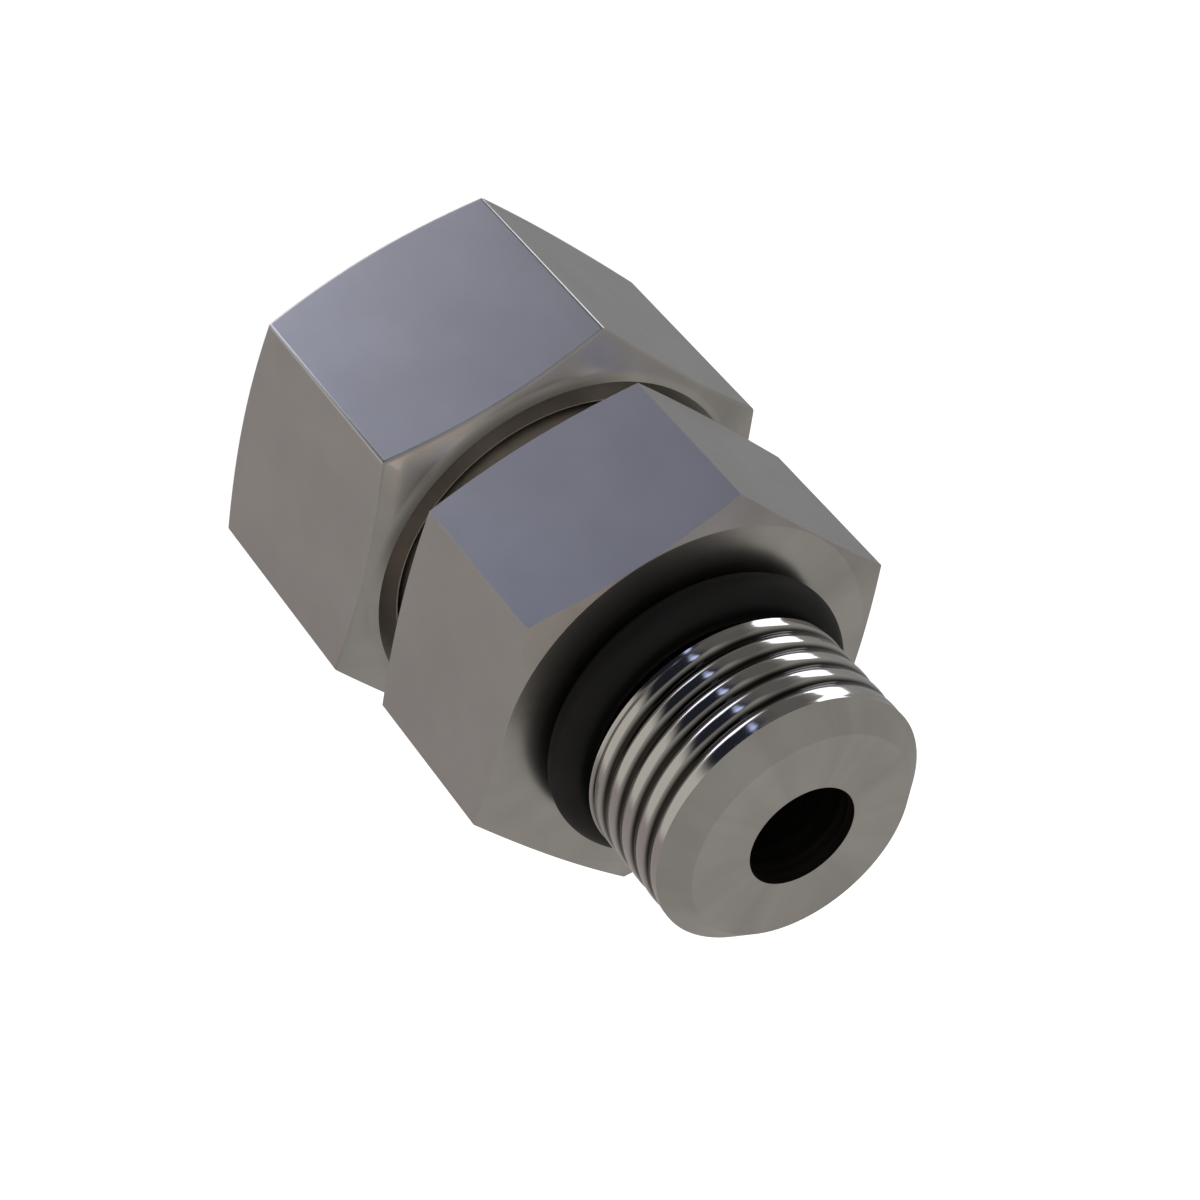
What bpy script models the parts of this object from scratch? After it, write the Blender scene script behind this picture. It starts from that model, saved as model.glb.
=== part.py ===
# Face seal swivel adapter in steel.
#
# A hexagonal body carries a threaded stud with an O-ring at one end and a flat sealing nose at the
# other. A swivel nut turns on the nose, held there by a lip that is rolled in behind a shoulder.
#
# Frame: the fitting stands on the open end of its nut at Z = 0, the bore runs along Z, the stud
# points up, and two corners of each hexagon lie on X. Sizes are in metres.

import math

import bmesh
import bpy
from mathutils import Matrix

# Resolution of the model
SEGMENTS = 72                               # sides of every turned surface, a multiple of twelve
RING_SEGMENTS = 12                          # sides of the O-ring's round section
FILLET_STEPS = 3                            # chords in a small fillet

# Body hexagon, its corner chamfers and the bore
BODY_ACROSS_FLATS = 0.015875
BODY_HEX_LENGTH = 0.00788
BODY_CHAMFER_ANGLE = math.radians(15.0)     # from the end face
BODY_FACE_INSET = 0.00006                   # round end face, inside the flats
BORE_DIAMETER = 0.00445

# Stud
STUD_DIAMETER = 0.01111
STUD_LENGTH = 0.00803                       # from the hexagon's sealing face to the tip
STUD_PITCH = 0.00099
STUD_TIP_CHAMFER = 0.00093                  # at 45 degrees
UNDERCUT_DEPTH = 0.00087                    # groove for the O-ring, below the roots of the thread
UNDERCUT_RUNOUT = 0.00031                   # free width of the groove beside the O-ring

# Stud O-ring
O_RING_SECTION = 0.00183
O_RING_CLEARANCE = 0.0003                   # to the sealing face and to the floor of the groove

# Swivel nut
NUT_LENGTH = 0.01105
NUT_THREAD_DIAMETER = 0.01429
NUT_PITCH = 0.001411
NUT_WALL = 0.001355                         # between the thread's major diameter and the flats
NUT_CHAMFER_ANGLE = math.radians(20.0)      # from the end face
NUT_FACE_INSET = 0.00057                    # open end face, inside the flats
NUT_EDGE_RADIUS = 0.00018                   # along the six corners of the hexagon
NUT_ENTRY = 0.0002                          # entry chamfer, outside the thread's major radius
COUNTERBORE_RELIEF = 0.00045                # counterbore, outside the thread's major radius
COUNTERBORE_RUNOUT = 0.0005                 # free length of the counterbore under the shoulder

# Rolled lip, which holds the nut on the shoulder of the nose
LIP_OVERHANG = 0.00056                      # how far the lip reaches in from the counterbore
LIP_LAND = 0.00075                          # length of the lip's straight hole
LIP_EDGE_RADIUS = 0.00015
LIP_RIM_INSET = 0.000594                    # rim of the lip's face, inside the flats
LIP_RISE = 0.000175                         # height of the rim over the chamfer cone
LIP_FLARE_ANGLE = math.radians(60.0)        # slope of the hollow flare where it meets the rim

# Nose of the body, inside the nut
NECK_GAP = 0.00153                          # bare neck between the nut's lip and the hexagon
SHOULDER_LENGTH = 0.0011
NOSE_LENGTH = 0.0013
NOSE_EDGE_CHAMFER = 0.0003                  # at 45 degrees

# Running clearances of the nut, on the radius unless said otherwise
NECK_CLEARANCE = 0.00015
SHOULDER_CLEARANCE = 0.0002
NOSE_CLEARANCE = 0.0002
SEAT_CLEARANCE = 0.0003                     # square to the cones of the lip and the shoulder

# Thread form: 60 degree flanks, crest an eighth and root a quarter of the pitch
FLANK_ANGLE = math.radians(30.0)
CREST_SHARE = 1 / 8
ROOT_SHARE = 1 / 4

# A cutter reaches this far past the face that it cuts, and a joined piece this far into its partner
OVERLAP = 0.001


def thread_depth(pitch):
    """Depth of the thread form, crest to root."""
    return pitch * (1 - CREST_SHARE - ROOT_SHARE) / 2 / math.tan(FLANK_ANGLE)


# Radii that follow from the sizes above
STUD_ROOT_RADIUS = STUD_DIAMETER / 2 - thread_depth(STUD_PITCH)
UNDERCUT_RADIUS = STUD_ROOT_RADIUS - UNDERCUT_DEPTH
NUT_THREAD_RADIUS = NUT_THREAD_DIAMETER / 2
NUT_HOLE_RADIUS = NUT_THREAD_RADIUS - thread_depth(NUT_PITCH)
NUT_FLAT_RADIUS = NUT_THREAD_RADIUS + NUT_WALL
COUNTERBORE_RADIUS = NUT_THREAD_RADIUS + COUNTERBORE_RELIEF
LIP_HOLE_RADIUS = COUNTERBORE_RADIUS - LIP_OVERHANG
LIP_RIM_RADIUS = NUT_FLAT_RADIUS - LIP_RIM_INSET
NECK_RADIUS = LIP_HOLE_RADIUS - NECK_CLEARANCE
SHOULDER_RADIUS = COUNTERBORE_RADIUS - SHOULDER_CLEARANCE
NOSE_RADIUS = NUT_HOLE_RADIUS - NOSE_CLEARANCE

# Heights that follow from the sizes above, from the nut's open end upwards
LIP_CONE_Z = NUT_LENGTH - LIP_LAND + LIP_HOLE_RADIUS
SHOULDER_CONE_Z = LIP_CONE_Z - SEAT_CLEARANCE * math.sqrt(2)
SHOULDER_TOP_Z = SHOULDER_CONE_Z - SHOULDER_RADIUS
SHOULDER_BOTTOM_Z = SHOULDER_TOP_Z - SHOULDER_LENGTH
SEAL_FACE_Z = SHOULDER_BOTTOM_Z - NOSE_LENGTH
COUNTERBORE_END_Z = SHOULDER_BOTTOM_Z - COUNTERBORE_RUNOUT
HEX_BOTTOM_Z = NUT_LENGTH + NECK_GAP
HEX_TOP_Z = HEX_BOTTOM_Z + BODY_HEX_LENGTH
STUD_THREAD_Z = HEX_TOP_Z + O_RING_CLEARANCE + O_RING_SECTION + UNDERCUT_RUNOUT
TIP_Z = HEX_TOP_Z + STUD_LENGTH


def new_collection(name):
    collection = bpy.data.collections.new(name)
    bpy.context.scene.collection.children.link(collection)
    return collection


def principled(name, colour, roughness, metallic):
    material = bpy.data.materials.new(name)
    material.use_nodes = True
    material.diffuse_color = (*colour, 1.0)
    shader = material.node_tree.nodes["Principled BSDF"]
    shader.inputs["Base Color"].default_value = (*colour, 1.0)
    shader.inputs["Roughness"].default_value = roughness
    shader.inputs["Metallic"].default_value = metallic
    return material


def add_object(name, mesh, collection):
    obj = bpy.data.objects.new(name, mesh)
    collection.objects.link(obj)
    return obj


def add_bmesh(name, bm, collection):
    """Link a finished bmesh as an object, with its faces turned out."""
    bmesh.ops.recalc_face_normals(bm, faces=bm.faces)
    mesh = bpy.data.meshes.new(name)
    bm.to_mesh(mesh)
    bm.free()
    return add_object(name, mesh, collection)


def arc(centre_r, centre_z, radius, start, end):
    """Points of an arc in the turning plane, with its angles measured from +X towards +Z."""
    angles = [start + (end - start) * step / FILLET_STEPS for step in range(FILLET_STEPS + 1)]
    return [(centre_r + radius * math.cos(a), centre_z + radius * math.sin(a)) for a in angles]


def turned(name, profile, collection):
    """Revolve a profile of (radius, height) points, given from the top down, around Z.

    The shape is turned by half a facet, so that its edges miss the corners of the hexagons and
    the edges of the threads.
    """
    mesh = bpy.data.meshes.new(name)
    points = [(radius, 0.0, height) for radius, height in profile]
    mesh.from_pydata(points, [(i, i + 1) for i in range(len(points) - 1)], [])
    obj = add_object(name, mesh, collection)
    obj.rotation_euler.z = math.radians(180.0) / SEGMENTS
    screw = obj.modifiers.new("Turning", 'SCREW')
    screw.axis = 'Z'
    screw.angle = math.radians(360.0)
    screw.steps = SEGMENTS
    screw.render_steps = SEGMENTS
    screw.use_merge_vertices = True
    screw.merge_threshold = 0.000001
    return obj


def hexagon(name, flat_radius, edge_radius, bottom, top, collection):
    """Hexagonal prism with two corners on X. Its corners are rounded if a radius is given."""
    bm = bmesh.new()
    corner_radius = flat_radius / math.cos(math.radians(30.0))
    bmesh.ops.create_cone(bm, cap_ends=True, segments=6, radius1=corner_radius,
                          radius2=corner_radius, depth=top - bottom,
                          matrix=Matrix.Translation((0, 0, (top + bottom) / 2))
                          @ Matrix.Rotation(math.radians(30.0), 4, 'Z'))
    if edge_radius:
        half_length = (top - bottom) / 2
        corners = [edge for edge in bm.edges
                   if abs(edge.verts[0].co.z - edge.verts[1].co.z) > half_length]
        # The fillet meets each flat this far from the corner where the two flats would meet.
        tangent_length = edge_radius * math.tan(math.radians(30.0))
        bmesh.ops.bevel(bm, geom=corners, offset=tangent_length, offset_type='OFFSET',
                        segments=2, profile=0.5, affect='EDGES')
    return add_bmesh(name, bm, collection)


def threaded_rod(name, crest_radius, root_radius, pitch, bottom, top, collection):
    """Closed rod with a right-hand thread, squarely cut at both ends."""
    crest = pitch * CREST_SHARE
    flank = (crest_radius - root_radius) * math.tan(FLANK_ANGLE)
    root = pitch - crest - 2 * flank
    outline = [(root_radius, 0.0), (root_radius, root), (crest_radius, root + flank),
               (crest_radius, root + flank + crest), (root_radius, pitch)]
    turns = math.ceil((top - bottom) / pitch) + 3
    start = bottom - 1.5 * pitch

    bm = bmesh.new()
    verts = [bm.verts.new((radius, 0.0, start + height)) for radius, height in outline]
    edges = [bm.edges.new(pair) for pair in zip(verts, verts[1:])]
    bmesh.ops.spin(bm, geom=verts + edges, cent=(0, 0, 0), axis=(0, 0, 1),
                   dvec=(0, 0, pitch / SEGMENTS), angle=math.radians(360.0) * turns,
                   steps=SEGMENTS * turns, use_merge=False, use_duplicate=False)
    # One turn's last edge meets the next turn's first.
    bmesh.ops.remove_doubles(bm, verts=bm.verts, dist=pitch / 1000)
    for height, outward in ((bottom, (0, 0, -1)), (top, (0, 0, 1))):
        bmesh.ops.bisect_plane(bm, geom=bm.verts[:] + bm.edges[:] + bm.faces[:], dist=pitch / 100000,
                               plane_co=(0, 0, height), plane_no=outward, clear_outer=True)
        rim = [edge for edge in bm.edges if edge.is_boundary
               and all(abs(vert.co.z - height) < pitch / 1000 for vert in edge.verts)]
        bmesh.ops.edgeloop_fill(bm, edges=rim)
    return add_bmesh(name, bm, collection)


def combine(obj, operation, *others):
    for other in others:
        other.display_type = 'WIRE'
        other.hide_render = True
        boolean = obj.modifiers.new(operation.title() + " " + other.name, 'BOOLEAN')
        boolean.operation = operation
        boolean.solver = 'EXACT'
        boolean.object = other


def finish(obj, material):
    """Apply an object's modifiers and its transform, and shade it smooth between sharp edges."""
    evaluated = obj.evaluated_get(bpy.context.evaluated_depsgraph_get())
    mesh = bpy.data.meshes.new_from_object(evaluated)
    mesh.transform(evaluated.matrix_world)
    obj.modifiers.clear()
    obj.matrix_world = Matrix.Identity(4)
    obj.data = mesh
    mesh.name = obj.name
    mesh.materials.clear()
    mesh.materials.append(material)
    mesh.shade_smooth()
    mesh.set_sharp_from_angle(angle=math.radians(28.0))
    return obj


def body_envelope(tools):
    """Turned blank that chamfers the corners of the body's hexagon at both ends."""
    face_radius = BODY_ACROSS_FLATS / 2 - BODY_FACE_INSET
    drop = BODY_HEX_LENGTH / 3
    outer = face_radius + drop / math.tan(BODY_CHAMFER_ANGLE)
    return turned("body_chamfers", [
        (0, HEX_TOP_Z),
        (face_radius, HEX_TOP_Z),
        (outer, HEX_TOP_Z - drop),
        (outer, HEX_BOTTOM_Z + drop),
        (face_radius, HEX_BOTTOM_Z),
        (0, HEX_BOTTOM_Z),
    ], tools)


def stud_envelope(tools):
    """Turned blank that chamfers the stud's tip and ends its thread at the groove."""
    outer = STUD_DIAMETER / 2 + OVERLAP
    return turned("stud_chamfer", [
        (0, TIP_Z),
        (STUD_DIAMETER / 2 - STUD_TIP_CHAMFER, TIP_Z),
        (outer, TIP_Z - STUD_TIP_CHAMFER - OVERLAP),
        (outer, STUD_THREAD_Z),
        (0, STUD_THREAD_Z),
    ], tools)


def divide_sealing_face(mesh):
    """Part the sealing face along a hexagon outside the O-ring.

    The land that bears on the port then has flat facets of its own. The shape stays as it is.
    """
    bm = bmesh.new()
    bm.from_mesh(mesh)
    rims = [vert for vert in bm.verts if abs(vert.co.z - HEX_TOP_Z) < 0.0000001]
    bmesh.ops.remove_doubles(bm, verts=rims, dist=0.000001)
    rims = [vert for vert in bm.verts if abs(vert.co.z - HEX_TOP_Z) < 0.0000001]
    rims.sort(key=lambda vert: math.atan2(vert.co.y, vert.co.x))
    facets = [face for face in bm.faces if all(vert in rims for vert in face.verts)]
    middle_radius = (UNDERCUT_RADIUS + BODY_ACROSS_FLATS / 2) / 2
    inner = [vert for vert in rims if vert.co.xy.length < middle_radius]
    outer = [vert for vert in rims if vert.co.xy.length > middle_radius]
    bmesh.ops.delete(bm, geom=facets, context='FACES')
    step = SEGMENTS // 12
    for first in range(0, SEGMENTS, 2 * step):
        turn = [(first + i) % SEGMENTS for i in range(2 * step + 1)]
        land = [outer[i] for i in turn]
        groove = [inner[i] for i in turn]
        bm.faces.new([land[0], land[-1], *reversed(groove)])
        for corners in (land[::step], land[:step + 1], land[step:]):
            bm.faces.new(corners)
    bmesh.ops.recalc_face_normals(bm, faces=bm.faces)
    bm.to_mesh(mesh)
    bm.free()


def build_adapter_body(parts, tools, material):
    """Nose, neck, hexagon and threaded stud, bored through."""
    hex_middle_z = (HEX_BOTTOM_Z + HEX_TOP_Z) / 2
    body = turned("adapter_body", [
        (0, STUD_THREAD_Z + OVERLAP),
        (UNDERCUT_RADIUS, STUD_THREAD_Z + OVERLAP),
        (UNDERCUT_RADIUS, hex_middle_z),
        (NECK_RADIUS, hex_middle_z),
        (NECK_RADIUS, SHOULDER_CONE_Z - NECK_RADIUS),
        (SHOULDER_RADIUS, SHOULDER_TOP_Z),
        (SHOULDER_RADIUS, SHOULDER_BOTTOM_Z),
        (NOSE_RADIUS, SHOULDER_BOTTOM_Z),
        (NOSE_RADIUS, SEAL_FACE_Z + NOSE_EDGE_CHAMFER),
        (NOSE_RADIUS - NOSE_EDGE_CHAMFER, SEAL_FACE_Z),
        (0, SEAL_FACE_Z),
    ], parts)
    hex_blank = hexagon("body_hexagon", BODY_ACROSS_FLATS / 2, 0, HEX_BOTTOM_Z - OVERLAP,
                        HEX_TOP_Z + OVERLAP, tools)
    thread = threaded_rod("stud_thread", STUD_DIAMETER / 2, STUD_ROOT_RADIUS, STUD_PITCH,
                          STUD_THREAD_Z - OVERLAP, TIP_Z + OVERLAP, tools)
    bore = turned("bore", [
        (0, TIP_Z + OVERLAP),
        (BORE_DIAMETER / 2, TIP_Z + OVERLAP),
        (BORE_DIAMETER / 2, SEAL_FACE_Z - OVERLAP),
        (0, SEAL_FACE_Z - OVERLAP),
    ], tools)
    combine(hex_blank, 'INTERSECT', body_envelope(tools))
    combine(thread, 'INTERSECT', stud_envelope(tools))
    combine(body, 'UNION', hex_blank, thread)
    combine(body, 'DIFFERENCE', bore)
    finish(body, material)
    divide_sealing_face(body.data)
    return body


def nut_envelope(tools):
    """Turned outside of the nut: the lip's face, its hollow flare and both corner chamfers."""
    slope = math.tan(NUT_CHAMFER_ANGLE)
    # The flare is an arc that leaves the chamfer cone at the cone's angle and meets the rim.
    rise_per_radius = (math.cos(NUT_CHAMFER_ANGLE) - math.cos(LIP_FLARE_ANGLE)
                       - slope * (math.sin(LIP_FLARE_ANGLE) - math.sin(NUT_CHAMFER_ANGLE)))
    flare_radius = LIP_RISE / rise_per_radius
    flare = arc(LIP_RIM_RADIUS + flare_radius * math.sin(LIP_FLARE_ANGLE),
                NUT_LENGTH + flare_radius * math.cos(LIP_FLARE_ANGLE), flare_radius,
                math.radians(270.0) - LIP_FLARE_ANGLE, math.radians(270.0) - NUT_CHAMFER_ANGLE)
    cone_radius, cone_z = flare[-1]
    # Both cones run out to a third of the nut's length, well outside the hexagon's corners.
    drop = NUT_LENGTH / 3
    outer = cone_radius + drop / slope
    face_radius = NUT_FLAT_RADIUS - NUT_FACE_INSET
    return turned("nut_chamfers", [
        (0, NUT_LENGTH),
        *flare,
        (outer, cone_z - drop),
        (outer, (outer - face_radius) * slope),
        (face_radius, 0),
        (0, 0),
    ], tools)


def nut_inside(tools):
    """Turned inside of the nut: the lip's hole, the counterbore and the threaded hole."""
    entry_radius = NUT_THREAD_RADIUS + NUT_ENTRY
    lip_edge = arc(LIP_HOLE_RADIUS + LIP_EDGE_RADIUS, NUT_LENGTH - LIP_EDGE_RADIUS, LIP_EDGE_RADIUS,
                   math.radians(90.0), math.radians(180.0))
    return turned("nut_hole", [
        (0, NUT_LENGTH + OVERLAP),
        (LIP_HOLE_RADIUS + LIP_EDGE_RADIUS, NUT_LENGTH + OVERLAP),
        *lip_edge,
        (LIP_HOLE_RADIUS, NUT_LENGTH - LIP_LAND),
        (COUNTERBORE_RADIUS, LIP_CONE_Z - COUNTERBORE_RADIUS),
        (COUNTERBORE_RADIUS, COUNTERBORE_END_Z),
        (NUT_HOLE_RADIUS, COUNTERBORE_END_Z - (COUNTERBORE_RADIUS - NUT_HOLE_RADIUS)),
        (NUT_HOLE_RADIUS, entry_radius - NUT_HOLE_RADIUS),
        (entry_radius + OVERLAP, -OVERLAP),
        (0, -OVERLAP),
    ], tools)


def build_swivel_nut(parts, tools, material):
    """Hexagonal nut with an internal thread, a counterbore and a rolled-in lip."""
    nut = hexagon("swivel_nut", NUT_FLAT_RADIUS, NUT_EDGE_RADIUS, -OVERLAP, NUT_LENGTH + OVERLAP,
                  parts)
    # The tap's roots stay inside the hole, and its end lies in the hollow of the counterbore.
    tap_root_radius = NUT_HOLE_RADIUS - thread_depth(NUT_PITCH) / 8
    tap = threaded_rod("nut_tap", NUT_THREAD_RADIUS, tap_root_radius, NUT_PITCH, -OVERLAP,
                       COUNTERBORE_END_Z - COUNTERBORE_RELIEF / 2, tools)
    combine(nut, 'INTERSECT', nut_envelope(tools))
    combine(nut, 'DIFFERENCE', nut_inside(tools), tap)
    return finish(nut, material)


def build_stud_o_ring(parts, material):
    """Round ring in the stud's groove, beside the hexagon's sealing face."""
    section_radius = O_RING_SECTION / 2
    bpy.ops.mesh.primitive_torus_add(
        major_segments=SEGMENTS,
        minor_segments=RING_SEGMENTS,
        major_radius=UNDERCUT_RADIUS + O_RING_CLEARANCE + section_radius,
        minor_radius=section_radius,
        location=(0, 0, HEX_TOP_Z + O_RING_CLEARANCE + section_radius),
    )
    ring = bpy.context.object
    ring.name = "stud_o_ring"
    for collection in list(ring.users_collection):
        collection.objects.unlink(ring)
    parts.objects.link(ring)
    return finish(ring, material)


def main():
    for obj in list(bpy.data.objects):
        bpy.data.objects.remove(obj, do_unlink=True)
    parts = new_collection("face_seal_fitting")
    tools = new_collection("face_seal_fitting_cutters")
    turned_steel = principled("turned steel", (0.22, 0.21, 0.19), 0.30, 1.0)
    drawn_steel = principled("drawn bar steel", (0.23, 0.22, 0.23), 0.32, 1.0)
    black_rubber = principled("black nitrile rubber", (0.010, 0.010, 0.009), 0.55, 0.0)
    build_adapter_body(parts, tools, turned_steel)
    build_swivel_nut(parts, tools, drawn_steel)
    build_stud_o_ring(parts, black_rubber)


main()
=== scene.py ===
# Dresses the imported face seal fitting: machined steel body and nut, rubber O-ring, light and camera.
import math

import bmesh
import bpy
from mathutils import Matrix, Vector


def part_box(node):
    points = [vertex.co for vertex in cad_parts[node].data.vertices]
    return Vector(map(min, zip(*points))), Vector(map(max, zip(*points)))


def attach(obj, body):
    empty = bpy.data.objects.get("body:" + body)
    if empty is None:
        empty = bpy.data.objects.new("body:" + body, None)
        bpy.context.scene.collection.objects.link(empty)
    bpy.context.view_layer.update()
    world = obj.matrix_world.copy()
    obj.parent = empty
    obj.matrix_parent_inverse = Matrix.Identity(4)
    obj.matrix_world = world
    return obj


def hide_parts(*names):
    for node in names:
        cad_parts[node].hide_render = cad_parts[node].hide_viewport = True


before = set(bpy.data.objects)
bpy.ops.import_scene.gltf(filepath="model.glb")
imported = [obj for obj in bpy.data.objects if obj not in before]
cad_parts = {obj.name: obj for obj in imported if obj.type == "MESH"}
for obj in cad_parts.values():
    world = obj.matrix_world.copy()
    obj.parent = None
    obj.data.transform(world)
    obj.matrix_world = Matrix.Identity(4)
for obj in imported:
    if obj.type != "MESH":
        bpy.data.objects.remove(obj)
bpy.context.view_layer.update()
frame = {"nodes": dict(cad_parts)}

mm = 0.001
fullTurn = math.radians(360)

# The CAD nodes give the heights that the pieces are built to
noseEnd, studTip = (corner.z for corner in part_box("adapter_body"))
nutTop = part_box("swivel_nut")[1].z
print("frame loaded:", ", ".join(frame["nodes"]))


# Materials

def linear(hexColour):
    parts = [int(hexColour[i:i + 2], 16) / 255 for i in (1, 3, 5)]
    return [p / 12.92 if p <= 0.04045 else ((p + 0.055) / 1.055) ** 2.4 for p in parts] + [1]


def addNode(tree, kind, settings=None, inputs=None):
    # settings are the node's own properties; an input is a value or another node's socket
    node = tree.nodes.new(kind)
    for name, value in (settings or {}).items():
        setattr(node, name, value)
    for name, value in (inputs or {}).items():
        if isinstance(value, bpy.types.NodeSocket):
            tree.links.new(value, node.inputs[name])
        else:
            node.inputs[name].default_value = value
    return node


def newMaterial(name, values):
    material = bpy.data.materials.new(name)
    material.use_nodes = True
    shader = material.node_tree.nodes["Principled BSDF"]
    for socket, value in values.items():
        shader.inputs[socket].default_value = value
    return material, material.node_tree, shader


def fromBore(tree, place):
    # the way out from the bore's axis, and how far out a point is
    outward = addNode(tree, "ShaderNodeVectorMath", {"operation": 'MULTIPLY'}, {
        0: place, 1: (1, 1, 0)}).outputs[0]
    radius = addNode(tree, "ShaderNodeVectorMath", {"operation": 'LENGTH'}, {0: outward}).outputs["Value"]
    return outward, radius


def spread(tree, noise, ends):
    # carries the useful middle of a noise over to the two ends of a range
    low, high = ends
    return addNode(tree, "ShaderNodeMapRange", None, {
        "Value": noise, "From Min": 0.3, "From Max": 0.7, "To Min": low, "To Max": high}).outputs[0]


steelLook = {
    "turned": ("#AAA7A3", "#BAB7B3"),       # darker and lighter tone
    "turnedRoughness": (0.28, 0.31),
    "feed": 0.14 * mm,          # spacing of the turning tool's marks
    "feedHeight": 0.0001 * mm,  # satin metal shows even this
    "sheenSectors": 7,            # broad rays across an end face, a painted sheen like the one turning marks throw
    "film": 3.0 * mm,           # size of the cloudy spots left by oil and handling
    "filmRange": (0.35, 0.65),  # the part of that noise that goes from one tone to the other

    "drawn": ("#B0AFAE", "#B6B5B4"),
    "drawnRoughness": (0.29, 0.31),
    "drawLine": 0.12 * mm,      # width of a line along the bar; real ones are too fine to show
    "drawLength": 6.0 * mm,
    "drawHeight": 0.00005 * mm,
    "worn": "#B9B8B6",          # along the corners of the hexagons
    "wornRoughness": 0.28,
    "wornWidth": 0.08 * mm,

    "rolled": ("#BBB9B5", "#C4C2BE"),
    "rolledRoughness": (0.07, 0.12),
    "threadRootShade": "#2E2B28",    # painted shade between the threads
    "rootShadeDepth": 0.09 * mm,     # how far below the crests the painted shade reaches

    # dark inside the bore: painted shade
    "drilled": "#4A4642",
    "drilledRoughness": (0.4, 0.6),
    "drillMark": 5.0 * mm,      # length of a drill mark round the bore

    "hollow": "#7A7672",        # painted shade in the hollow round the nut's lip
    "shadeWidth": 0.4 * mm,    # over which that painted shade fades out
    "shadeSide": 222,             # the painted shade lies to this side, in degrees from +X
    "shadeSpread": (0.58, 0.86),  # cosines of the angles at which it ends and is darkest
    "filmThickness": (0.85, 1.15),
}


def makeTurnedSteel(name, shadeRadius):
    # Free-cutting bar turned on a lathe: satin, with rings of fine marks and faint rays of painted sheen
    # across them; inside the given radius it is darkened towards one side with painted shade
    material, tree, shader = newMaterial(name, {"Metallic": 1.0})
    place = addNode(tree, "ShaderNodeTexCoord").outputs["Object"]
    height = addNode(tree, "ShaderNodeSeparateXYZ", None, {0: place}).outputs["Z"]
    across, radius = fromBore(tree, place)
    outward = addNode(tree, "ShaderNodeVectorMath", {"operation": 'NORMALIZE'}, {0: across}).outputs[0]
    section = addNode(tree, "ShaderNodeCombineXYZ", None, {"X": radius, "Y": height}).outputs[0]
    marks = addNode(tree, "ShaderNodeTexNoise", None, {
        "Vector": section, "Scale": 1 / steelLook["feed"], "Detail": 2.0}).outputs["Fac"]
    # painted sheen: tone in broad rays round the axis
    paintedRays = addNode(tree, "ShaderNodeTexNoise", None, {
        "Vector": outward, "Scale": steelLook["sheenSectors"] / 2, "Detail": 3.0}).outputs["Fac"]
    film = addNode(tree, "ShaderNodeTexNoise", None, {
        "Vector": place, "Scale": 1 / steelLook["film"], "Detail": 2.0}).outputs["Fac"]
    both = addNode(tree, "ShaderNodeMath", {"operation": 'ADD'}, {0: paintedRays, 1: film}).outputs[0]
    darkest, lightest = steelLook["filmRange"]
    tone = addNode(tree, "ShaderNodeMapRange", None, {
        "Value": both, "From Min": 2 * darkest, "From Max": 2 * lightest}).outputs[0]
    dark, light = steelLook["turned"]
    steel = addNode(tree, "ShaderNodeMixRGB", None, {
        "Fac": tone, "Color1": linear(dark), "Color2": linear(light)}).outputs[0]

    # Painted shade in the hollow, darker towards one side
    inside = addNode(tree, "ShaderNodeMapRange", {"interpolation_type": 'SMOOTHSTEP'}, {
        "Value": radius, "From Min": shadeRadius,
        "From Max": shadeRadius - steelLook["shadeWidth"]}).outputs[0]
    shadeTurn = math.radians(steelLook["shadeSide"])
    side = addNode(tree, "ShaderNodeVectorMath", {"operation": 'DOT_PRODUCT'}, {
        0: outward, 1: (math.cos(shadeTurn), math.sin(shadeTurn), 0)}).outputs["Value"]
    shadeEnd, shadeStart = steelLook["shadeSpread"]
    shadedSide = addNode(tree, "ShaderNodeMapRange", {"interpolation_type": 'SMOOTHSTEP'}, {
        "Value": side, "From Min": shadeEnd, "From Max": shadeStart}).outputs[0]
    paintedShade = addNode(tree, "ShaderNodeMath", {"operation": 'MULTIPLY'}, {0: inside, 1: shadedSide}).outputs[0]
    colour = addNode(tree, "ShaderNodeMixRGB", None, {
        "Fac": paintedShade, "Color1": steel, "Color2": linear(steelLook["hollow"])}).outputs[0]

    bump = addNode(tree, "ShaderNodeBump", None, {
        "Height": marks, "Strength": 1.0, "Distance": steelLook["feedHeight"]}).outputs[0]
    tree.links.new(colour, shader.inputs["Base Color"])
    tree.links.new(spread(tree, marks, steelLook["turnedRoughness"]), shader.inputs["Roughness"])
    tree.links.new(bump, shader.inputs["Normal"])
    return material


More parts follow.
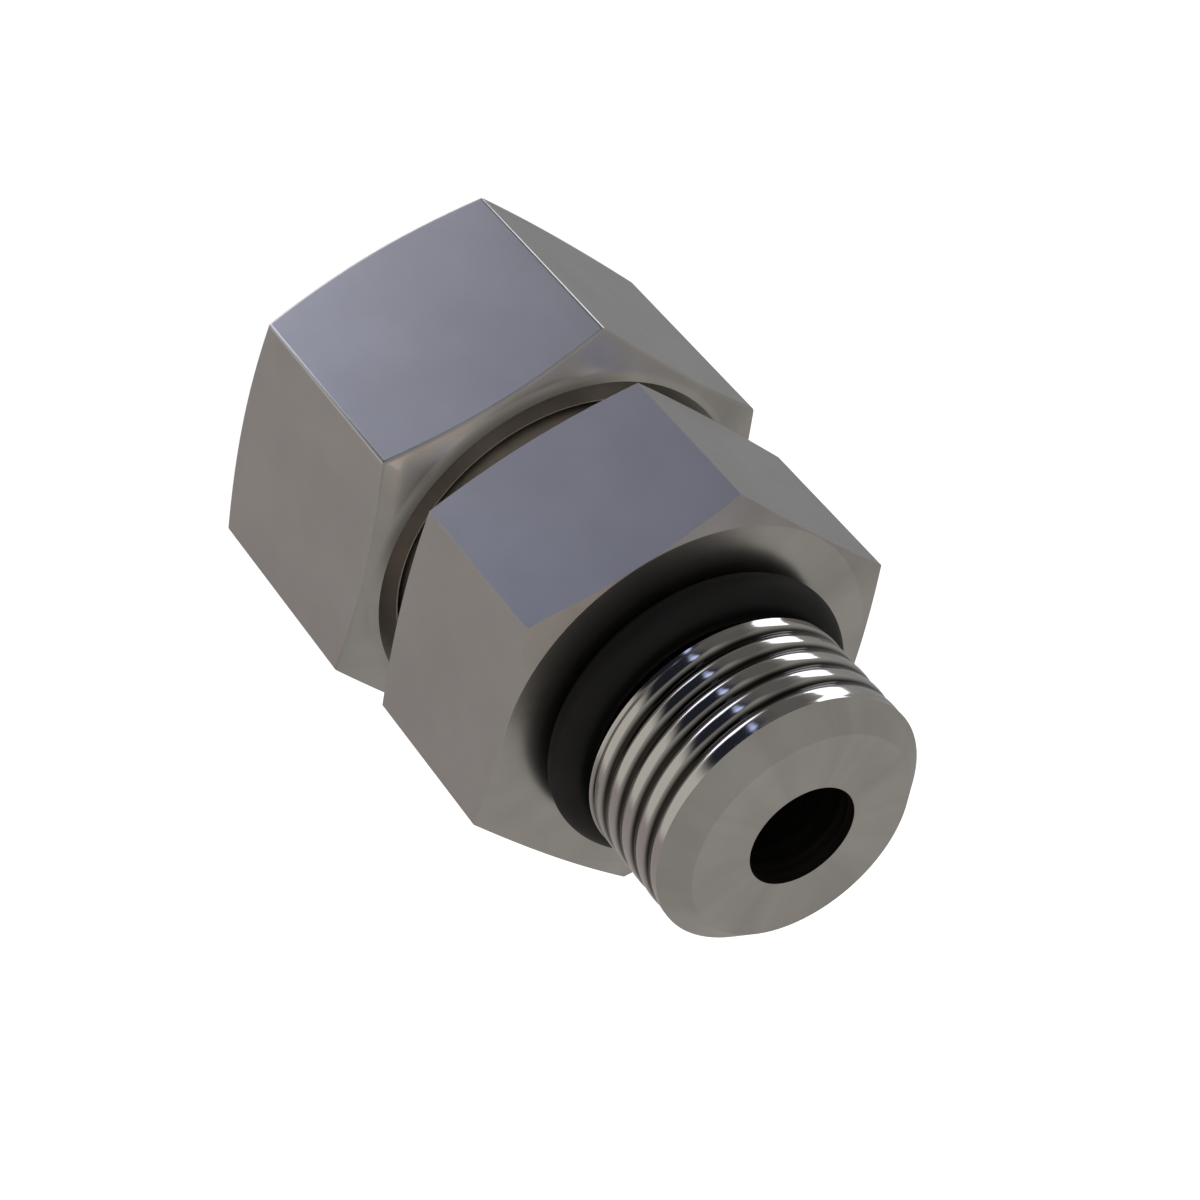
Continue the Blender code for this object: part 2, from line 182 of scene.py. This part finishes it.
def makeDrawnSteel(name, cornerRadius):
    # Cold-drawn hexagon bar: satin flats with lines along the bar, polished by spanners at its corners
    material, tree, shader = newMaterial(name, {"Metallic": 1.0})
    place = addNode(tree, "ShaderNodeTexCoord").outputs["Object"]
    stretched = addNode(tree, "ShaderNodeMapping", None, {"Vector": place, "Scale": (
        1 / steelLook["drawLine"], 1 / steelLook["drawLine"], 1 / steelLook["drawLength"])}).outputs[0]
    lines = addNode(tree, "ShaderNodeTexNoise", None, {
        "Vector": stretched, "Scale": 1.0, "Detail": 2.0}).outputs["Fac"]
    film = addNode(tree, "ShaderNodeTexNoise", None, {
        "Vector": place, "Scale": 1 / steelLook["film"], "Detail": 3.0}).outputs["Fac"]
    darkest, lightest = steelLook["filmRange"]
    tone = addNode(tree, "ShaderNodeMapRange", None, {
        "Value": film, "From Min": darkest, "From Max": lightest}).outputs[0]

    # How far a point is from the nearest corner: the hexagon is folded over to its corner on +X
    axes = addNode(tree, "ShaderNodeSeparateXYZ", None, {0: place})
    radius = fromBore(tree, place)[1]
    turn = addNode(tree, "ShaderNodeMath", {"operation": 'ARCTAN2'}, {
        0: axes.outputs["Y"], 1: axes.outputs["X"]}).outputs[0]
    fromCorner = addNode(tree, "ShaderNodeMath", {"operation": 'WRAP'}, {
        0: turn, 1: -fullTurn / 12, 2: fullTurn / 12}).outputs[0]
    onAxis = addNode(tree, "ShaderNodeCombineXYZ", None, {"X": radius}).outputs[0]
    folded = addNode(tree, "ShaderNodeVectorRotate", {"rotation_type": 'Z_AXIS'}, {
        "Vector": onAxis, "Angle": fromCorner}).outputs[0]
    gap = addNode(tree, "ShaderNodeVectorMath", {"operation": 'DISTANCE'}, {
        0: folded, 1: (cornerRadius, 0, 0)}).outputs["Value"]

    # The film's noise, about 0.5 on average, makes the worn line wander
    wander = addNode(tree, "ShaderNodeMath", {"operation": 'ADD'}, {0: film, 1: 0.5}).outputs[0]
    uneven = addNode(tree, "ShaderNodeMath", {"operation": 'MULTIPLY'}, {0: gap, 1: wander}).outputs[0]
    worn = addNode(tree, "ShaderNodeMapRange", {"interpolation_type": 'SMOOTHSTEP'}, {
        "Value": uneven, "From Min": steelLook["wornWidth"], "From Max": 0.0}).outputs[0]

    dark, light = steelLook["drawn"]
    steel = addNode(tree, "ShaderNodeMixRGB", None, {
        "Fac": tone, "Color1": linear(dark), "Color2": linear(light)}).outputs[0]
    colour = addNode(tree, "ShaderNodeMixRGB", None, {
        "Fac": worn, "Color1": steel, "Color2": linear(steelLook["worn"])}).outputs[0]
    satin = spread(tree, lines, steelLook["drawnRoughness"])
    roughness = addNode(tree, "ShaderNodeMapRange", None, {
        "Value": worn, "To Min": satin, "To Max": steelLook["wornRoughness"]}).outputs[0]
    bump = addNode(tree, "ShaderNodeBump", None, {
        "Height": lines, "Strength": 1.0, "Distance": steelLook["drawHeight"]}).outputs[0]
    tree.links.new(colour, shader.inputs["Base Color"])
    tree.links.new(roughness, shader.inputs["Roughness"])
    tree.links.new(bump, shader.inputs["Normal"])
    return material


def makeRolledSteel(name, crestRadius):
    # A rolled thread is burnished by its dies: smooth, bright crests, and roots darkened with painted shade
    material, tree, shader = newMaterial(name, {"Metallic": 1.0})
    place = addNode(tree, "ShaderNodeTexCoord").outputs["Object"]
    film = addNode(tree, "ShaderNodeTexNoise", None, {
        "Vector": place, "Scale": 1 / steelLook["film"], "Detail": 4.0}).outputs["Fac"]
    dark, light = steelLook["rolled"]
    steel = addNode(tree, "ShaderNodeMixRGB", None, {
        "Fac": film, "Color1": linear(dark), "Color2": linear(light)}).outputs[0]
    radius = fromBore(tree, place)[1]
    # painted shade: the steel goes dark towards the roots
    crest = addNode(tree, "ShaderNodeMapRange", {"interpolation_type": 'SMOOTHSTEP'}, {
        "Value": radius, "From Min": crestRadius - steelLook["rootShadeDepth"],
        "From Max": crestRadius}).outputs[0]
    colour = addNode(tree, "ShaderNodeMixRGB", None, {
        "Fac": crest, "Color1": linear(steelLook["threadRootShade"]), "Color2": steel}).outputs[0]
    tree.links.new(colour, shader.inputs["Base Color"])
    tree.links.new(spread(tree, film, steelLook["rolledRoughness"]), shader.inputs["Roughness"])
    return material


def makeGapLightSteel(name, tint, bare, roughness):
    # A brown, partly diffuse coat over turned steel, in and round the gap, as painted light: the coat
    # scatters light that bare metal would send on into the dark
    material, tree, shader = newMaterial(name, {"Metallic": bare})
    place = addNode(tree, "ShaderNodeTexCoord").outputs["Object"]
    film = addNode(tree, "ShaderNodeTexNoise", None, {
        "Vector": place, "Scale": 1 / steelLook["film"], "Detail": 4.0}).outputs["Fac"]
    thickness = spread(tree, film, steelLook["filmThickness"])
    colour = addNode(tree, "ShaderNodeVectorMath", {"operation": 'MULTIPLY'}, {
        0: linear(tint)[:3], 1: thickness}).outputs[0]
    satin = addNode(tree, "ShaderNodeMath", {"operation": 'MULTIPLY'}, {
        0: thickness, 1: roughness}).outputs[0]
    tree.links.new(colour, shader.inputs["Base Color"])
    tree.links.new(satin, shader.inputs["Roughness"])
    return material


def makeDrilledSteel():
    # The drilled bore is darkened with painted shade, with rings of drill marks
    material, tree, shader = newMaterial("drilled steel darkened with painted shade", {
        "Metallic": 1.0, "Base Color": linear(steelLook["drilled"])})
    place = addNode(tree, "ShaderNodeTexCoord").outputs["Object"]
    squeezed = addNode(tree, "ShaderNodeMapping", None, {"Vector": place, "Scale": (
        1 / steelLook["drillMark"], 1 / steelLook["drillMark"], 1 / steelLook["feed"])}).outputs[0]
    marks = addNode(tree, "ShaderNodeTexNoise", None, {"Vector": squeezed, "Scale": 1.0}).outputs["Fac"]
    tree.links.new(spread(tree, marks, steelLook["drilledRoughness"]), shader.inputs["Roughness"])
    return material


# Mesh helpers

blankShare = 0.62               # radius of the turned blank over the flats' width, past the corners
onSurface = 0.01 * mm           # a point this close to a surface lies on it
cutTolerance = 1e-8             # metres
runOutTop = 0.5 * mm            # a thread fades out over this length at its upper end
runOutBottom = 0.3 * mm


def arc(centreR, centreZ, radius, start, end, steps):
    angles = [math.radians(start + (end - start) * i / steps) for i in range(steps + 1)]
    return [(centreR + radius * math.cos(a), centreZ + radius * math.sin(a)) for a in angles]


def rowsBetween(start, end, pitch, rowsPerPitch):
    # even heights along a thread, close enough together to shape it
    rows = round(abs(end - start) / pitch * rowsPerPitch)
    return [start + (end - start) * i / rows for i in range(rows + 1)]


def spinRing(points, steps):
    # a closed section of (radius, height) points, turned all the way round the bore's axis
    bm = bmesh.new()
    verts = [bm.verts.new((r, 0, z)) for r, z in points]
    edges = [bm.edges.new(pair) for pair in zip(verts, verts[1:] + verts[:1])]
    bmesh.ops.spin(bm, geom=verts + edges, cent=(0, 0, 0), axis=(0, 0, 1), angle=fullTurn,
                   steps=steps, use_merge=True, use_duplicate=False)
    bmesh.ops.recalc_face_normals(bm, faces=bm.faces)
    return bm


def millFlats(bm, flatRadius):
    # six plane cuts, with a corner of the hexagon left on +X
    for i in range(6):
        turn = math.radians(30 + 60 * i)
        outward = Vector((math.cos(turn), math.sin(turn), 0))
        cut = bmesh.ops.bisect_plane(bm, geom=bm.verts[:] + bm.edges[:] + bm.faces[:], dist=cutTolerance,
                                     plane_co=outward * flatRadius, plane_no=outward,
                                     clear_outer=True)
        rim = [e for e in cut["geom_cut"] if isinstance(e, bmesh.types.BMEdge) and e.is_boundary]
        bmesh.ops.edgeloop_fill(bm, edges=rim)


def isFlat(face, flatRadius):
    # true on the flats of a hexagon and on the rounded edges between them
    return abs(face.normal.z) < 0.01 and face.calc_center_median().xy.length > flatRadius


def turnPosition(co):
    # share of a turn from +X, anticlockwise seen from the stud
    return math.atan2(co.y, co.x) / fullTurn


def smooth(x):
    x = min(max(x, 0), 1)
    return x * x * (3 - 2 * x)


def runOut(z, bottom, top):
    # 1 along a thread, falling to 0 at its two ends
    return smooth((top - z) / runOutTop) * smooth((z - bottom) / runOutBottom)


def makePiece(name, bm, materials, carrier, node, sharpAngle):
    bmesh.ops.recalc_face_normals(bm, faces=bm.faces)
    mesh = bpy.data.meshes.new(name)
    bm.to_mesh(mesh)
    bm.free()
    mesh.shade_smooth()
    mesh.set_sharp_from_angle(angle=math.radians(sharpAngle))
    for material in materials:
        mesh.materials.append(material)
    piece = bpy.data.objects.new(name, mesh)
    bpy.context.scene.collection.objects.link(piece)
    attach(piece, carrier)
    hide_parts(node)
    return piece


# Adapter body

body = {
    "flats": 15.875 * mm,       # across the hexagon
    "hexLength": 7.88 * mm,
    "studLength": 8.03 * mm,    # sealing face to tip
    "chamferAngle": 15,         # degrees from the end face, at both ends of the hexagon
    "faceInset": 0.04 * mm,     # round end face, inside the flats
    "stud": 11.11 * mm,
    "tipChamfer": 0.93 * mm,
    "boreSize": 4.45 * mm,
    "grooveEnd": 2.44 * mm,     # from the sealing face to the thread
    "grooveRadius": 4.40 * mm,
    "neckRadius": 6.885 * mm,   # the nut's lip turns round the neck, behind the shoulder
    "shoulderRadius": 7.395 * mm,
    "shoulderTop": 9.516 * mm,
    "shoulderLength": 1.1 * mm,
    "noseRadius": 6.181 * mm,   # its flat end is the seal
    "noseEdge": 0.3 * mm,
    "pitch": 0.992 * mm,
    "threadDepth": 0.10 * mm,   # shallow and soft, as a rolled thread with worn crests looks
    "crestAt": 25.23 * mm,      # height of one crest on the side that faces the camera
    "crestTurn": 215,
    "rowsPerPitch": 26,         # mesh rows along one turn of the thread
    "steps": 360,               # mesh steps round the bore's axis
    "sharpAngle": 14,           # edges that turn more than this stay crisp
    # a brown coat that lightens the gap: painted light
    "neckGapLight": ("#968D84", 0.75, 0.4),      # colour, share of bare metal, roughness
}

# Body and nut are turned from the same steel
turnedSteel = makeTurnedSteel("turned free-cutting steel", 0)


def rollThread(bm, studRadius, bottom, top):
    # a shallow right-hand groove, with broad crests, that runs out before both ends
    for vert in bm.verts:
        z = vert.co.z
        radius = math.hypot(vert.co.x, vert.co.y)
        if bottom < z < top and radius > studRadius - onSurface:
            turns = (z - body["crestAt"]) / body["pitch"] - turnPosition(vert.co) + body["crestTurn"] / 360
            groove = abs(math.sin(math.pi * turns)) ** 4
            vert.co.xy *= 1 - body["threadDepth"] * groove * runOut(z, bottom, top) / radius


def makeBody():
    hexTop = studTip - body["studLength"]
    hexBottom = hexTop - body["hexLength"]
    slope = math.tan(math.radians(body["chamferAngle"]))
    faceRadius = body["flats"] / 2 - body["faceInset"]
    outer = body["flats"] * blankShare
    drop = (outer - faceRadius) * slope
    studRadius = body["stud"] / 2
    threadTop = studTip - body["tipChamfer"]
    threadBottom = hexTop + body["grooveEnd"]
    shoulderBottom = body["shoulderTop"] - body["shoulderLength"]
    neckEnd = body["shoulderTop"] + body["shoulderRadius"] - body["neckRadius"]
    boreRadius = body["boreSize"] / 2
    bm = spinRing([
        (boreRadius, studTip),
        (studRadius - body["tipChamfer"], studTip),
        *[(studRadius, z) for z in rowsBetween(threadTop, threadBottom, body["pitch"], body["rowsPerPitch"])],
        (body["grooveRadius"], threadBottom),
        (body["grooveRadius"], hexTop),
        (faceRadius, hexTop),
        (outer, hexTop - drop),
        (outer, hexBottom + drop),
        (faceRadius, hexBottom),
        (body["neckRadius"], hexBottom),
        (body["neckRadius"], neckEnd),
        (body["shoulderRadius"], body["shoulderTop"]),
        (body["shoulderRadius"], shoulderBottom),
        (body["noseRadius"], shoulderBottom),
        (body["noseRadius"], noseEnd + body["noseEdge"]),
        (body["noseRadius"] - body["noseEdge"], noseEnd),
        (boreRadius, noseEnd),
    ], body["steps"])
    millFlats(bm, body["flats"] / 2)
    rollThread(bm, studRadius, threadBottom, threadTop)

    threadSteel = makeRolledSteel("rolled thread steel", studRadius)
    boreSteel = makeDrilledSteel()
    flatSteel = makeDrawnSteel("drawn bar steel, body", body["flats"] / math.sqrt(3))
    neckSteel = makeGapLightSteel("steel lightened in the gap with painted light", *body["neckGapLight"])
    steels = [turnedSteel, threadSteel, boreSteel, flatSteel, neckSteel]
    for face in bm.faces:
        middle = face.calc_center_median()
        radius = middle.xy.length
        steel = turnedSteel
        if radius < boreRadius + onSurface:
            steel = boreSteel
        elif threadBottom < middle.z < threadTop and radius > body["grooveRadius"] + onSurface:
            steel = threadSteel
        elif isFlat(face, body["flats"] / 2 - onSurface):
            steel = flatSteel
        elif shoulderBottom < middle.z < hexBottom and radius < body["shoulderRadius"] + onSurface:
            steel = neckSteel
        face.material_index = steels.index(steel)
    return makePiece("body_machined", bm, steels, "adapter", "adapter_body",
                     body["sharpAngle"])


bodyPiece = makeBody()
print("adapter body made:", len(bodyPiece.data.polygons), "faces")


# Swivel nut

nut = {
    "flats": 17.0 * mm,
    "chamferAngle": 20,
    "faceInset": 0.57 * mm,     # open end face, inside the flats
    "edgeSetback": 0.104 * mm,  # from a sharp edge to where its rounding meets the flat
    "edgeSegments": 4,
    "thread": 14.29 * mm,
    "pitch": 1.411 * mm,
    "threadDepth": 0.764 * mm,
    "entry": 0.2 * mm,          # entry chamfer, outside the thread's major radius
    "counterbore": 7.595 * mm,  # radius of the room for the body's shoulder
    "counterboreEnd": 7.916 * mm,
    "lipHole": 7.035 * mm,      # radius of the lip's hole
    "lipLand": 0.75 * mm,
    "lipEdge": 0.12 * mm,
    "lipEdgeSteps": 5,
    "rimInset": 0.594 * mm,     # the lip's rim, inside the flats
    "rimRise": 0.175 * mm,      # and over the chamfer cone
    "flareAngle": 60,           # slope of the hollow flare at the rim
    "flareSteps": 8,
    "rowsPerPitch": 16,
    "steps": 360,
    "sharpAngle": 30,
    "hollowShadeRadius": 8.3 * mm,      # painted shade in the hollow reaches out to here
    "hollowShadeDepth": 0.5 * mm,       # and as far down the cone
    # a whitish diffuse coat on the lip's inner edge: a painted highlight
    "lipEdgeHighlight": ("#F0EAE2", 0.0, 0.5),
}


def tapThread(bm, minor, bottom, top):
    # 60 degree flanks, with flat crests and roots
    rootHalf = nut["pitch"] / 16
    flankSlope = math.tan(math.radians(30))
    for vert in bm.verts:
        z = vert.co.z
        radius = math.hypot(vert.co.x, vert.co.y)
        if bottom < z < top and radius < minor + onSurface:
            turns = z / nut["pitch"] - turnPosition(vert.co)
            fromRoot = abs(turns - round(turns)) * nut["pitch"] - rootHalf
            cut = max(nut["threadDepth"] - max(fromRoot, 0) / flankSlope, 0)
            vert.co.xy *= 1 + cut * runOut(z, bottom, top) / radius


def roundHexEdges(bm, flat):
    # the edges round each flat, at the corners and along the cones, lie this far out and turn this much
    leastTurn = math.radians(40)
    hexEdges = [edge for edge in bm.edges
                if edge.is_manifold and min(v.co.xy.length for v in edge.verts) > flat - onSurface / 10
                and edge.calc_face_angle() > leastTurn]
    bmesh.ops.bevel(bm, geom=hexEdges, offset=nut["edgeSetback"], offset_type='OFFSET',
                    segments=nut["edgeSegments"], profile=0.5, affect='EDGES',
                    clamp_overlap=False, material=-1)


def makeNut():
    flat = nut["flats"] / 2
    slope = math.tan(math.radians(nut["chamferAngle"]))
    faceRadius = flat - nut["faceInset"]
    outer = nut["flats"] * blankShare

    # The hollow flare leaves the front cone at the cone's angle and ends at the lip's rim
    coneAngle, rimAngle = math.radians(nut["chamferAngle"]), math.radians(nut["flareAngle"])
    rimCos, rimSin = math.cos(rimAngle), math.sin(rimAngle)
    flareRadius = nut["rimRise"] / (
        math.cos(coneAngle) - rimCos - slope * (rimSin - math.sin(coneAngle)))
    rimRadius = flat - nut["rimInset"]
    flare = arc(rimRadius + flareRadius * rimSin, nutTop + flareRadius * rimCos, flareRadius,
                270 - nut["flareAngle"], 270 - nut["chamferAngle"], nut["flareSteps"])
    coneRadius, coneTop = flare[-1]

    lipEdge = arc(nut["lipHole"] + nut["lipEdge"], nutTop - nut["lipEdge"], nut["lipEdge"], 180, 90,
                  nut["lipEdgeSteps"])
    minor = nut["thread"] / 2 - nut["threadDepth"]
    entry = nut["thread"] / 2 + nut["entry"]
    threadTop = nut["counterboreEnd"] - (nut["counterbore"] - minor)
    threadBottom = entry - minor
    bm = spinRing([
        *flare,
        (outer, coneTop - (outer - coneRadius) * slope),
        (outer, (outer - faceRadius) * slope),
        (faceRadius, 0),
        (entry, 0),
        *[(minor, z) for z in rowsBetween(threadBottom, threadTop, nut["pitch"], nut["rowsPerPitch"])],
        (nut["counterbore"], nut["counterboreEnd"]),
        (nut["counterbore"], nutTop - nut["lipLand"] - (nut["counterbore"] - nut["lipHole"])),
        (nut["lipHole"], nutTop - nut["lipLand"]),
        *lipEdge,
    ], nut["steps"])
    millFlats(bm, flat)
    tapThread(bm, minor, threadBottom, threadTop)
    roundHexEdges(bm, flat)

    flatSteel = makeDrawnSteel("drawn bar steel, nut", nut["flats"] / math.sqrt(3))
    # the hollow of the flare gets painted shade, darker towards one side
    shadedHollowSteel = makeTurnedSteel("turned steel with painted shade", nut["hollowShadeRadius"])
    # a painted highlight along the lip's inner edge
    edgeSteel = makeGapLightSteel("lip edge with painted highlight", *nut["lipEdgeHighlight"])
    steels = [turnedSteel, flatSteel, shadedHollowSteel, edgeSteel]
    for face in bm.faces:
        middle = face.calc_center_median()
        steel = turnedSteel
        if isFlat(face, flat - onSurface):
            steel = flatSteel
        elif middle.z > coneTop - nut["hollowShadeDepth"] and middle.xy.length > rimRadius:
            steel = shadedHollowSteel
        elif middle.z > nutTop - nut["lipEdge"] and middle.xy.length < nut["lipHole"] + nut["lipEdge"]:
            steel = edgeSteel
        face.material_index = steels.index(steel)
    return makePiece("nut_machined", bm, steels, "nut", "swivel_nut", nut["sharpAngle"])


nutPiece = makeNut()
weighted = nutPiece.modifiers.new("Even flats", 'WEIGHTED_NORMAL')
weighted.keep_sharp = True
print("swivel nut made:", len(nutPiece.data.polygons), "faces")


# Stud O-ring

ring = {
    "section": 1.83 * mm,
    "majorRadius": 5.364 * mm,  # to the middle of the section
    "steps": 256,
    "sides": 48,
    "sharpAngle": 60,
    "bare": "#0B0B0A",
    "dusty": "#121211",
    "roughness": (0.5, 0.65),
    "shine": 0.25,              # half of a hard plastic's
    "grain": 0.15 * mm,         # coarser than the mould's real grain, so that it shows
    "grainHeight": 0.004 * mm,
    "bloom": 2.0 * mm,          # size of the dusty spots
}


def makeRubber():
    # Moulded nitrile rubber: matt black, a fine grain from the mould and a faint dusty bloom
    material, tree, shader = newMaterial("moulded nitrile rubber", {"Specular IOR Level": ring["shine"]})
    place = addNode(tree, "ShaderNodeTexCoord").outputs["Object"]
    grain = addNode(tree, "ShaderNodeTexNoise", None, {
        "Vector": place, "Scale": 1 / ring["grain"], "Detail": 2.0}).outputs["Fac"]
    bloom = addNode(tree, "ShaderNodeTexNoise", None, {
        "Vector": place, "Scale": 1 / ring["bloom"], "Detail": 3.0}).outputs["Fac"]
    colour = addNode(tree, "ShaderNodeMixRGB", None, {
        "Fac": bloom, "Color1": linear(ring["bare"]), "Color2": linear(ring["dusty"])}).outputs[0]
    bump = addNode(tree, "ShaderNodeBump", None, {
        "Height": grain, "Strength": 0.5, "Distance": ring["grainHeight"]}).outputs[0]
    tree.links.new(colour, shader.inputs["Base Color"])
    tree.links.new(spread(tree, bloom, ring["roughness"]), shader.inputs["Roughness"])
    tree.links.new(bump, shader.inputs["Normal"])
    return material


def makeRing():
    # the ring lies on the hexagon's face
    radius = ring["section"] / 2
    centreZ = studTip - body["studLength"] + radius
    circle = arc(ring["majorRadius"], centreZ, radius, 0, 360, ring["sides"])[:-1]
    bm = spinRing(circle, ring["steps"])
    return makePiece("stud_ring_moulded", bm, [makeRubber()], "adapter", "stud_o_ring",
                     ring["sharpAngle"])


ringPiece = makeRing()
print("O-ring made:", len(ringPiece.data.polygons), "faces")


# Floor, light and camera

stage = {
    "floorSize": 4.0,           # metres
    "floorColour": "#F4F4F4",   # pale and lit from within, and out of the metal's reflections
    "floorRoughness": 0.9,
    "floorGlow": 0.8,
}


def makeFloor():
    bm = bmesh.new()
    bmesh.ops.create_grid(bm, x_segments=1, y_segments=1, size=stage["floorSize"] / 2)
    mesh = bpy.data.meshes.new("floor")
    bm.to_mesh(mesh)
    bm.free()
    mesh.materials.append(newMaterial("white light table", {
        "Base Color": linear(stage["floorColour"]),
        "Roughness": stage["floorRoughness"],
        "Emission Color": linear("#FFFFFF"),
        "Emission Strength": stage["floorGlow"],
    })[0])
    floor = bpy.data.objects.new("floor", mesh)
    bpy.context.scene.collection.objects.link(floor)
    floor.visible_glossy = False
    floor.visible_shadow = False


makeFloor()


light = {
    "room": "#AEACA8",          # the even grey of the studio tent
    # azimuth and height of the middle, width and height in degrees, softness of the edge, colour and
    # strength; each patch is painted over the ones before it
    "patches": {
        "tentFront": (28, 33, 60, 60, 0.6, "#B8B5B1", 1.0),
        "tentSide": (84, 36, 32, 30, 0.5, "#A09D9A", 1.0),
        "blueFold": (104, 60, 24, 16, 0.6, "#9698BA", 1.0),
        "topLamp": (20, 84, 16, 13, 0.5, "#FFEBE0", 2.8),
        "frontWall": (320, -45, 96, 70, 0.5, "#AAA19F", 1.0),
        "sideWall": (72, -42, 60, 60, 0.5, "#9A9A9A", 1.0),
        "warmWall": (275, -36, 58, 50, 0.18, "#DAD6D0", 1.0),
        "backWall": (167, -34, 36, 70, 0.4, "#6E6C6A", 1.0),
        "blackScreen": (217, -26, 56, 50, 0.3, "#262932", 1.0),
        "table": (213, -64, 33, 29, 0.35, "#E6E9FF", 3.4),
        "tableEdge": (210, -51, 9, 11, 0.5, "#DDE4FF", 2.4),
        "window": (199, -24, 6, 26, 0.4, "#B8C2F0", 1.8),
        "lamp": (127, -37, 22, 31, 0.06, "#F4F6FF", 2.6),
    },
}


def paintPatch(tree, direction, behind, azimuth, height, wide, tall, soft, colour, strength):
    # one soft-edged oval of light, painted over what is behind it
    level = addNode(tree, "ShaderNodeVectorRotate", {"rotation_type": 'Z_AXIS'}, {
        "Vector": direction, "Angle": math.radians(-azimuth)}).outputs[0]
    facing = addNode(tree, "ShaderNodeVectorRotate", {"rotation_type": 'Y_AXIS'}, {
        "Vector": level, "Angle": math.radians(height)}).outputs[0]
    scaled = addNode(tree, "ShaderNodeVectorMath", {"operation": 'MULTIPLY'}, {0: facing, 1: (
        0, 1 / math.sin(math.radians(wide / 2)), 1 / math.sin(math.radians(tall / 2)))}).outputs[0]
    fromMiddle = addNode(tree, "ShaderNodeVectorMath", {"operation": 'LENGTH'}, {
        0: scaled}).outputs["Value"]
    inside = addNode(tree, "ShaderNodeMapRange", {"interpolation_type": 'SMOOTHSTEP'}, {
        "Value": fromMiddle, "From Min": 1 + soft, "From Max": 1 - soft}).outputs[0]
    forward = addNode(tree, "ShaderNodeSeparateXYZ", None, {0: facing}).outputs["X"]
    ahead = addNode(tree, "ShaderNodeMath", {"operation": 'GREATER_THAN'}, {0: forward, 1: 0.0}).outputs[0]
    mask = addNode(tree, "ShaderNodeMath", {"operation": 'MULTIPLY'}, {0: inside, 1: ahead}).outputs[0]
    glow = [part * strength for part in linear(colour)[:3]] + [1]
    return addNode(tree, "ShaderNodeMixRGB", None, {
        "Fac": mask, "Color1": behind, "Color2": glow}).outputs[0]


def makeWorld():
    world = bpy.data.worlds.new("studio")
    bpy.context.scene.world = world
    world.use_nodes = True
    tree = world.node_tree
    direction = addNode(tree, "ShaderNodeTexCoord").outputs["Generated"]
    painted = linear(light["room"])
    for patch in light["patches"].values():
        painted = paintPatch(tree, direction, painted, *patch)
    tree.links.new(painted, tree.nodes["Background"].inputs["Color"])


makeWorld()

camera = {
    "place": Vector((-73.47, -69.26, 95.45)) * mm,
    "right": Vector((-0.2247, 0.8324, 0.5065)),     # the picture's own directions
    "down": Vector((0.7924, -0.1464, 0.5921)),
    "lens": 101.35,             # mm
    "sensor": 36,               # mm wide
    "clipStart": 1.0 * mm,
}


def makeCamera():
    right = camera["right"].normalized()
    down = (camera["down"] - right * camera["down"].dot(right)).normalized()
    forward = right.cross(down)
    data = bpy.data.cameras.new("camera")
    data.lens = camera["lens"]
    data.sensor_width = camera["sensor"]
    data.clip_start = camera["clipStart"]
    eye = bpy.data.objects.new("camera", data)
    turned = Matrix((right, -down, -forward)).transposed().to_4x4()
    eye.matrix_world = Matrix.Translation(camera["place"]) @ turned
    bpy.context.scene.collection.objects.link(eye)
    bpy.context.scene.camera = eye


makeCamera()
bpy.context.scene.view_settings.view_transform = 'Standard'
print("stage, light and camera made")
